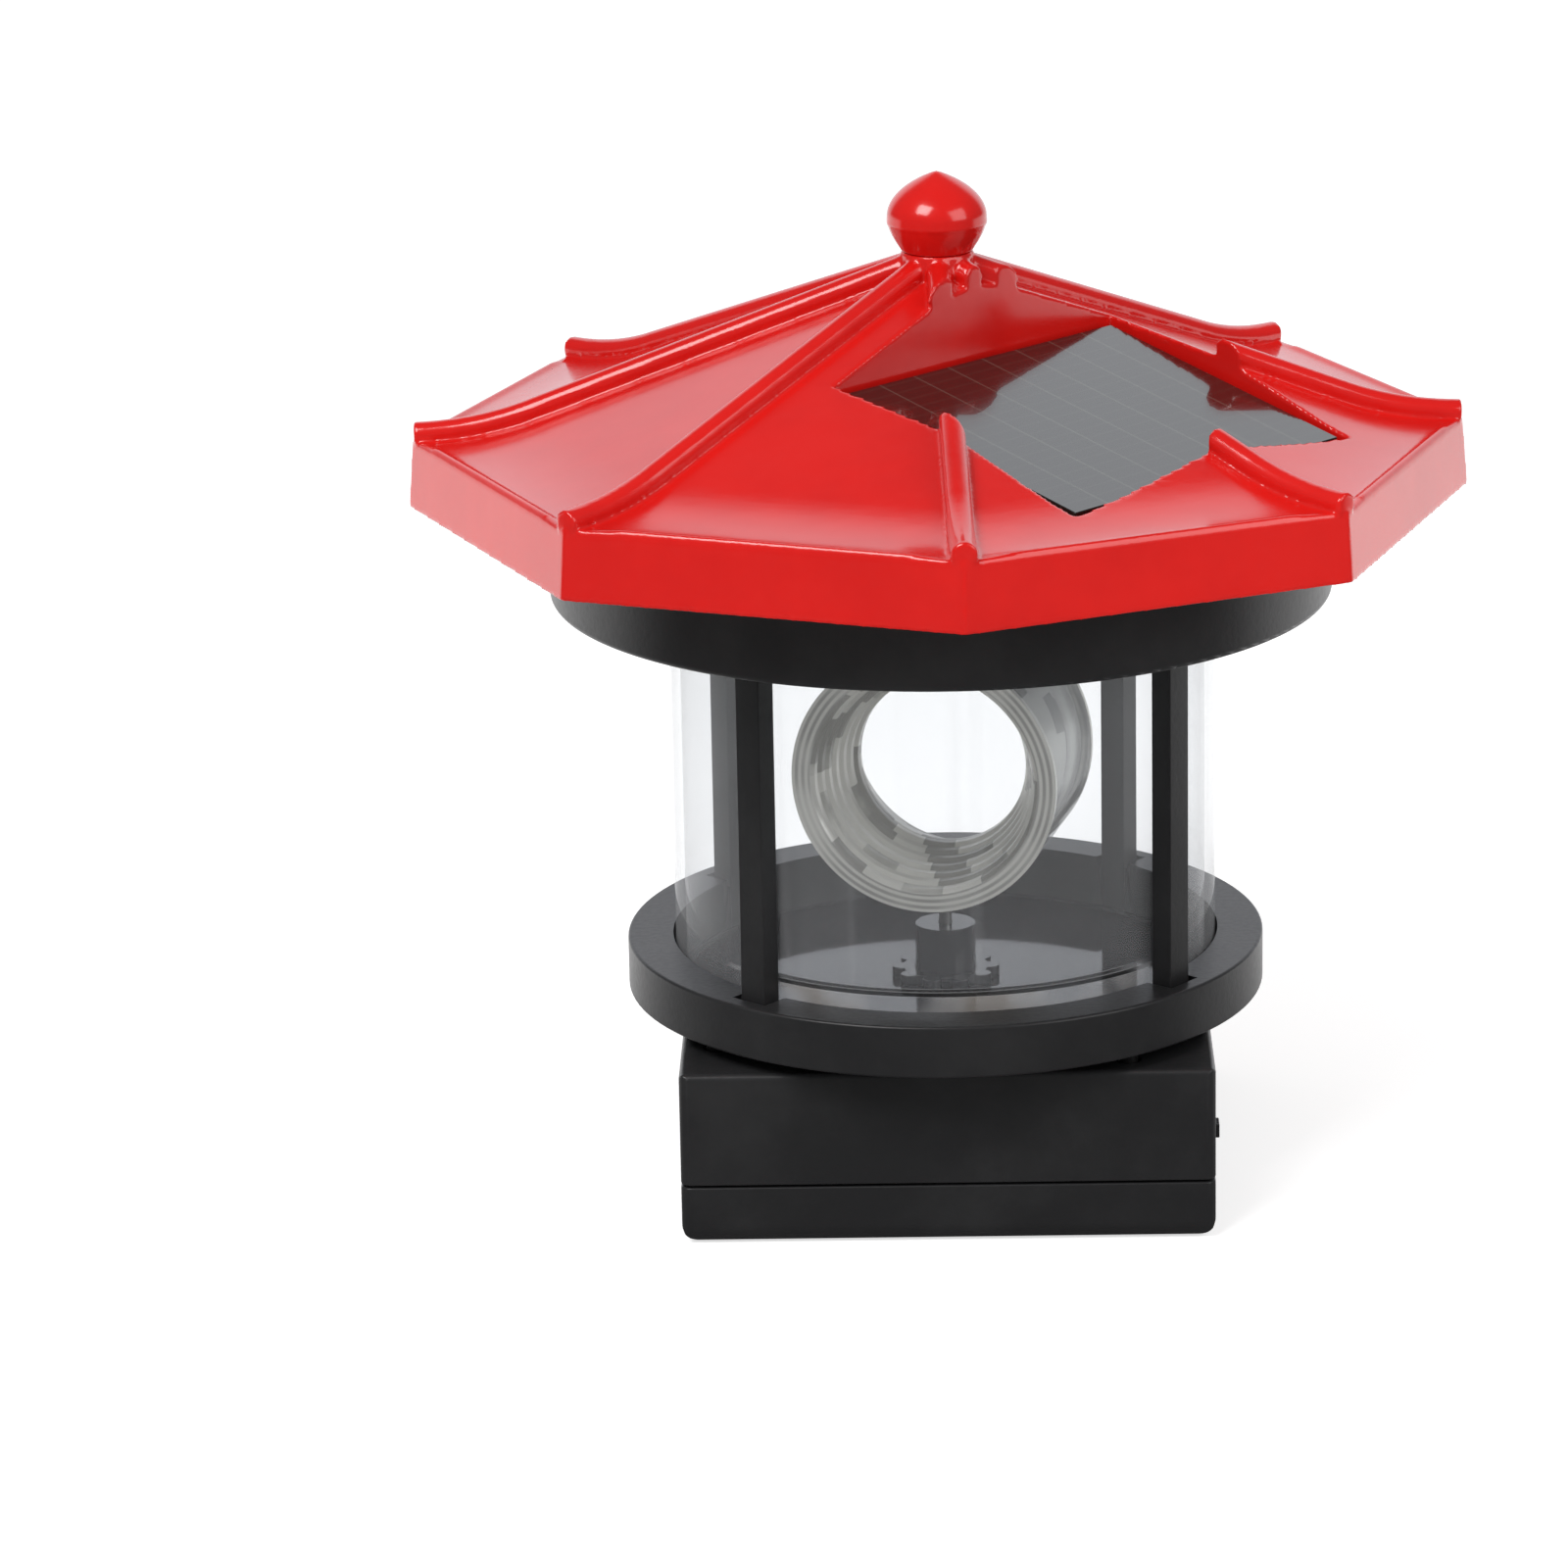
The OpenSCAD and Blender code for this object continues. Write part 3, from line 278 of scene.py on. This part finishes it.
def metallisedPlastic():  # painted broken reflections: brick-like patches of painted dark reflection on the rings, and painted reflection lines on the rim
    own, brick, rim = mirrorSettings, brickSettings, rimSettings
    finish = Finish("metallisedPlastic", metallic=own["metallic"])
    where = finish.place(own["azimuth"], (0, 0, own["height"]))
    across, along, up = finish.axes(where)
    ring = finish.math("FLOOR", along / brick["step"])
    angle = finish.math("ARCTAN2", up, across)
    cell = finish.math("FLOOR", angle * brick["perRadian"] + ring * brick["shift"])
    spot = {"X": cell * brick["spread"], "Y": ring * brick["ringSpread"], "Z": brick["layer"]}
    patches = finish.noise(finish.add("CombineXYZ", {}, spot), *brick["noise"])
    cloud = finish.noise(where, *own["cloud"])
    # painted reflection: dark patches painted into the base colour of the rings
    shade = finish.span(patches + (cloud - 0.5) * brick["ragged"], *brick["darkStep"], 1.0, 0.0)
    radius = finish.math("SQRT", across * across + up * up)
    onRim = finish.span(radius, *rim["edgeStep"])
    # painted reflection: fine lines painted across the rim
    rimReflectionLines = finish.span(finish.math("PINGPONG", radius, rim["pitch"]), *rim["lineStep"])
    rimReflectionLines = onRim * rimReflectionLines * finish.span(finish.noise(where, *rim["noise"]), *rim["noiseStep"])
    shade = shade * (1 - onRim) + rimReflectionLines
    amount = shade * own["shadeMix"] + cloud * own["cloudMix"]
    finish.feed(baseColor=finish.blend(amount, own["bright"], own["shade"]),
                roughness=own["roughness"] + cloud * own["cloudRoughness"])
    finish.bump(cloud, own["depth"], own["relief"])
    return finish


panelSettings = {"azimuth": 47.4, "cell": (0.008, 0.009, 0.008), "resin": (0.013, 0.014, 0.012),
                 "specular": 0.5, "coat": 0.72, "coatRoughness": 0.03, "roughness": 0.12,
                 "mottleRoughness": 0.06, "mottle": (140.0, 4.0, 0.6), "pitch": 0.0056,
                 "seamStep": (0.00005, 0.00022), "seamMix": 0.5,
                 "fingerPitch": 0.0009, "fingerStep": (0.00006, 0.00016), "fingerMix": 0.12,
                 "lineTone": (0.09, 0.10, 0.08)}


def solarLaminate():
    own = panelSettings
    finish = Finish("solarLaminate", specularIORLevel=own["specular"], coatWeight=own["coat"],
                    coatRoughness=own["coatRoughness"])
    where = finish.place(own["azimuth"])
    across, along = finish.axes(where)[:2]
    seam = finish.span(finish.math("PINGPONG", across, own["pitch"] / 2), *own["seamStep"], 1.0, 0.0)
    finger = finish.span(finish.math("PINGPONG", along, own["fingerPitch"]), *own["fingerStep"], 1.0, 0.0)
    mottle = finish.noise(where, *own["mottle"])
    face = finish.blend(mottle, own["cell"], own["resin"])
    face = finish.blend(seam * own["seamMix"] + finger * own["fingerMix"], face, own["lineTone"])
    finish.feed(baseColor=face, roughness=own["roughness"] + mottle * own["mottleRoughness"])
    return finish


steelSettings = {"dull": (0.55, 0.55, 0.53), "bright": (0.68, 0.68, 0.66), "roughness": 0.26,
                 "streakRoughness": 0.2, "streak": (1100.0, 3.0, 0.6), "depth": 0.00002}


def zincSteel():
    own = steelSettings
    finish = Finish("zincSteel", metallic=1.0)
    streak = finish.noise(finish.place(), *own["streak"])
    finish.feed(baseColor=finish.blend(streak, own["dull"], own["bright"]),
                roughness=own["roughness"] + streak * own["streakRoughness"])
    finish.bump(streak, own["depth"])
    return finish


plainSettings = {"detail": 4.0, "rough": 0.6, "cloudRoughness": 0.15, "depth": 0.00003}


def plainFinish(name, first, second, scale, roughness, metallic=0.0):
    own = plainSettings
    finish = Finish(name, metallic=metallic)
    cloud = finish.noise(finish.place(), scale, own["detail"], own["rough"])
    finish.feed(baseColor=finish.blend(cloud, first, second),
                roughness=roughness + (cloud - 0.5) * own["cloudRoughness"])
    finish.bump(cloud, own["depth"])
    return finish


red = redPlastic()
black = blackPlastic()
gloss = glossyBlackPlastic()
clear = clearPlastic()
silver = metallisedPlastic()
panel = solarLaminate()
steel = zincSteel()
board = plainFinish("circuitBoard", (0.02, 0.16, 0.06), (0.03, 0.22, 0.09), 500.0, 0.3)
parts = plainFinish("electronicParts", (0.02, 0.02, 0.022), (0.04, 0.04, 0.045), 700.0, 0.45)
resin = plainFinish("lampResin", (0.85, 0.85, 0.82), (0.92, 0.92, 0.9), 400.0, 0.12)
wrap = plainFinish("batteryWrap", (0.06, 0.3, 0.14), (0.09, 0.36, 0.18), 90.0, 0.3)
contact = plainFinish("contactMetal", (0.68, 0.68, 0.66), (0.78, 0.78, 0.76), 900.0, 0.22, 1.0)
can = plainFinish("motorCan", (0.6, 0.6, 0.58), (0.7, 0.7, 0.68), 600.0, 0.3, 1.0)
acetal = plainFinish("gearPlastic", (0.80, 0.78, 0.72), (0.86, 0.84, 0.79), 300.0, 0.4)
chassis = plainFinish("platePlastic", (0.55, 0.53, 0.47), (0.62, 0.6, 0.54), 300.0, 0.45)
dark = plainFinish("switchPlastic", (0.03, 0.03, 0.033), (0.05, 0.05, 0.052), 500.0, 0.4)
# dark steel for the floor screws: a blackened finish, also kept dark as painted shade so that they sink into
# the shade under the ring
darkSteelAsShade = plainFinish("blackenedSteelAsShade", (0.02, 0.02, 0.02), (0.035, 0.035, 0.035), 700.0, 0.45, 0.7)
jacket = plainFinish("wireJacket", (0.30, 0.015, 0.012), (0.24, 0.012, 0.01), 300.0, 0.45)
print("finishes made")


def deselectAll():
    if bpy.context.object and bpy.context.object.mode != "OBJECT":
        bpy.ops.object.mode_set(mode="OBJECT")
    bpy.ops.object.select_all(action="DESELECT")


def choose(piece):
    deselectAll()
    piece.select_set(True)
    bpy.context.view_layer.objects.active = piece


def applied(piece, kind, **settings):
    modifier = piece.modifiers.new(kind.lower(), kind)
    for name, value in settings.items():
        setattr(modifier, name, value)
    choose(piece)
    bpy.ops.object.modifier_apply(modifier=modifier.name)


# angles in degrees, weld in metres
meshSettings = {"weld": 2e-6, "flatAngle": 0.2, "smoothAngle": 35, "bevelAngle": 30, "bevelSegments": 2,
                "normalWeight": 50}
mouldedSettings = {"roof_shell": {"voxel": 0.25, "rounds": 5},  # voxel in mm
                   "finial": {"voxel": 0.16, "rounds": 16}}
softSettings = {"factor": 0.5, "triangles": 190000, "smoothAngle": 75}


def copyOf(node, name):
    piece = bpy.data.objects.new(name, nodes[node].data.copy())
    bpy.context.scene.collection.objects.link(piece)
    choose(piece)
    bpy.ops.object.mode_set(mode="EDIT")
    bpy.ops.mesh.select_all(action="SELECT")
    bpy.ops.mesh.remove_doubles(threshold=meshSettings["weld"])
    bpy.ops.mesh.dissolve_limited(angle_limit=math.radians(meshSettings["flatAngle"]))
    bpy.ops.object.mode_set(mode="OBJECT")
    return piece


def roundEdges(piece, width):
    applied(piece, "BEVEL", width=width, segments=meshSettings["bevelSegments"], limit_method="ANGLE",
            angle_limit=math.radians(meshSettings["bevelAngle"]), use_clamp_overlap=False,
            miter_outer="MITER_ARC")


def soften(piece, voxel, rounds):  # a moulding with small fillets on all its edges
    applied(piece, "REMESH", mode="VOXEL", voxel_size=voxel * mm)
    applied(piece, "SMOOTH", factor=softSettings["factor"], iterations=rounds)
    count = sum(len(face.vertices) - 2 for face in piece.data.polygons)
    if count > softSettings["triangles"]:
        applied(piece, "DECIMATE", ratio=softSettings["triangles"] / count)


def finishPiece(piece, finish, node, body, smoothAngle):
    choose(piece)
    bpy.ops.object.transform_apply(location=True, rotation=True, scale=True)
    bpy.ops.object.shade_smooth_by_angle(angle=math.radians(smoothAngle))
    # flat faces stay flat beside round edges
    applied(piece, "WEIGHTED_NORMAL", weight=meshSettings["normalWeight"], keep_sharp=True)
    piece.data.materials.clear()
    piece.data.materials.append(finish.material)
    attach(piece, body)
    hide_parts(node)


refined = [  # node, piece, slot, finish, bevel in mm
    ("roof_shell", "roofMoulding", "red_plastic", red, 0),
    ("finial", "finialKnob", "red_plastic", red, 0),
    ("solar_panel", "solarLaminatePlate", "solar_laminate", panel, 0.12),
    ("top_plate", "roofDish", "black_plastic", black, 0),
    ("post_front_right", "postFrontRight", "black_plastic", black, 0.15),
    ("post_front_left", "postFrontLeft", "black_plastic", black, 0.15),
    ("post_rear_left", "postRearLeft", "black_plastic", black, 0.1),
    ("post_rear_right", "postRearRight", "black_plastic", black, 0.15),
    ("clear_shade", "clearCylinder", "clear_plastic", clear, 0.15),
    ("gallery_ring", "galleryRing", "black_plastic", black, 0),
    ("lantern_floor", "lanternFloor", "floor_plastic", gloss, 0.15),
    ("bearing_tower", "bearingTower", "floor_plastic", gloss, 0.15),
    ("star_collar", "starCollar", "floor_plastic", gloss, 0.12),
    ("led_holder", "lampHolder", "floor_plastic", gloss, 0.12),
    ("base_housing", "boxHousing", "black_plastic", black, 0.2),
    ("base_cover", "boxCover", "black_plastic", black, 0.2),
    ("switch_knob", "switchKnob", "black_plastic", black, 0.08),
    ("lens_barrel", "drumSleeve", "clear_plastic", clear, 0.12),
    ("front_reflector", "frontReflector", "metallised_plastic", silver, 0.06),
    ("rear_reflector", "rearReflector", "metallised_plastic", silver, 0.06),
    ("led", "lampBody", "lamp_resin", resin, 0.05),
    ("drive_shaft", "driveShaft", "steel", steel, 0.08),
    ("cover_screws", "coverScrews", "steel", steel, 0.08),
]
bodyOf = {node: body for body, members in frame["record"]["behaviour"]["bodies"].items() for node in members}
for node, name, slot, finish, bevel in refined:
    piece = copyOf(node, name)
    if node in mouldedSettings:
        soften(piece, **mouldedSettings[node])
        smoothAngle = softSettings["smoothAngle"]
    else:
        smoothAngle = meshSettings["smoothAngle"]
    if bevel:
        roundEdges(piece, bevel * mm)
    finishPiece(piece, finish, node, bodyOf[node], smoothAngle)
print("visible pieces refined")

inside = {"control_board": board, "board_parts": parts, "battery": wrap, "battery_spring": contact,
          "battery_contact": contact, "motor": can, "motor_pinion": acetal, "idler_gear": acetal,
          "output_gear": acetal, "idler_axle": steel, "gear_plate": chassis, "plate_screws": steel,
          "switch_body": dark, "post_wires": dark, "panel_wires": jacket, "roof_screws": steel,
          "floor_screws": darkSteelAsShade}
for node, finish in inside.items():
    mesh = nodes[node].data
    mesh.materials.clear()
    mesh.materials.append(finish.material)
print("inner pieces finished")

studio = {"floorSize": 6.0, "floorColour": (0.82, 0.82, 0.82), "floorRoughness": 0.9, "floorGlow": 0.6,
          "frontStep": (-0.05, 0.10), "ambient": 0.45, "mirrorShade": 0.10, "mirrorTint": (0.93, 0.95, 1.0),
          "backdropStep": (0.58, 0.80)}


def addFloor():  # white to the camera, and dark in reflections of its front part
    deselectAll()
    bpy.ops.mesh.primitive_plane_add(size=studio["floorSize"], location=(0, 0, 0))
    floor = bpy.context.object
    floor.name = "floor"
    finish = Finish("studioFloor", roughness=studio["floorRoughness"], specularIORLevel=0.0)
    seen = finish.add("LightPath", out="Is Camera Ray")
    mirrored = finish.beside(seen, "Is Glossy Ray")
    along = finish.axes(finish.place())[1]
    front = finish.span(along, *studio["frontStep"], 1.0, 0.0)
    shaded = mirrored * front * (1.0 - studio["mirrorShade"])
    finish.feed(baseColor=finish.blend(shaded, studio["floorColour"], (0.0, 0.0, 0.0)))
    lit = (seen + mirrored * (1 - front)) * studio["floorGlow"]
    glow = finish.add("Emission", {}, {"Color": (1, 1, 1, 1), "Strength": lit})
    finish.surface(finish.add("AddShader", {}, (finish.plain(), glow)))
    floor.data.materials.append(finish.material)


def addWorld():  # white to the camera, and in reflections bright at the back alone
    world = bpy.data.worlds.new("studio")
    bpy.context.scene.world = world
    world.use_nodes = True
    sky = Shading(world.node_tree)
    background = world.node_tree.nodes["Background"]
    seen = sky.add("LightPath", out="Is Camera Ray")
    mirrored = sky.beside(seen, "Is Glossy Ray")
    through = sky.beside(seen, "Is Transmission Ray")
    along = sky.axes(sky.add("TexCoord", out="Generated"))[1]
    behind = sky.span(along, *studio["backdropStep"], studio["mirrorShade"], 1.0)
    level = sky.math("MINIMUM", seen + through + mirrored * behind, 1.0)
    rest = 1 - sky.math("MINIMUM", seen + through + mirrored, 1.0)
    sky.plug(background.inputs["Strength"], level + rest * studio["ambient"])
    sky.plug(background.inputs["Color"], sky.blend(mirrored, (1, 1, 1), studio["mirrorTint"]))


def addObject(name, data):
    holder = bpy.data.objects.new(name, data)
    bpy.context.scene.collection.objects.link(holder)
    return holder


def turnTowards(place, aim):
    return (Vector(aim) - Vector(place)).to_track_quat("-Z", "Y")


lamps = {"key": {"place": (-0.45, -0.55, 0.85), "aim": (0, 0, 0.06), "size": 0.5, "power": 6.5},
         "fill": {"place": (0.7, -0.5, 0.5), "aim": (0, 0, 0.05), "size": 0.6, "power": 2.6}}


def addLamp(name, place, aim, size, power):
    lamp = bpy.data.lights.new(name, "AREA")
    lamp.shape, lamp.size, lamp.size_y, lamp.energy = "RECTANGLE", size, size, power
    holder = addObject(name, lamp)
    holder.location = place
    holder.rotation_euler = turnTowards(place, aim).to_euler()


view = {"place": (0.0, -0.71823, 0.26095), "aim": (0.0, 0.0, 0.04498), "roll": -0.70, "lens": 150.06,
        "sensor": 36.0, "shift": (-0.1018, -0.0009), "clip": (0.01, 50.0)}


def addCamera():
    camera = bpy.data.cameras.new("camera")
    camera.lens, camera.sensor_width = view["lens"], view["sensor"]
    camera.shift_x, camera.shift_y = view["shift"]
    camera.clip_start, camera.clip_end = view["clip"]
    holder = addObject("camera", camera)
    turn = turnTowards(view["place"], view["aim"]).to_matrix()
    roll = Matrix.Rotation(math.radians(view["roll"]), 3, "Z")
    holder.matrix_world = Matrix.Translation(view["place"]) @ (turn @ roll).to_4x4()
    bpy.context.scene.camera = holder


addFloor()
addWorld()
for name, lamp in lamps.items():
    addLamp(name, **lamp)
addCamera()
bpy.context.scene.view_settings.view_transform = "Standard"
print("studio set")
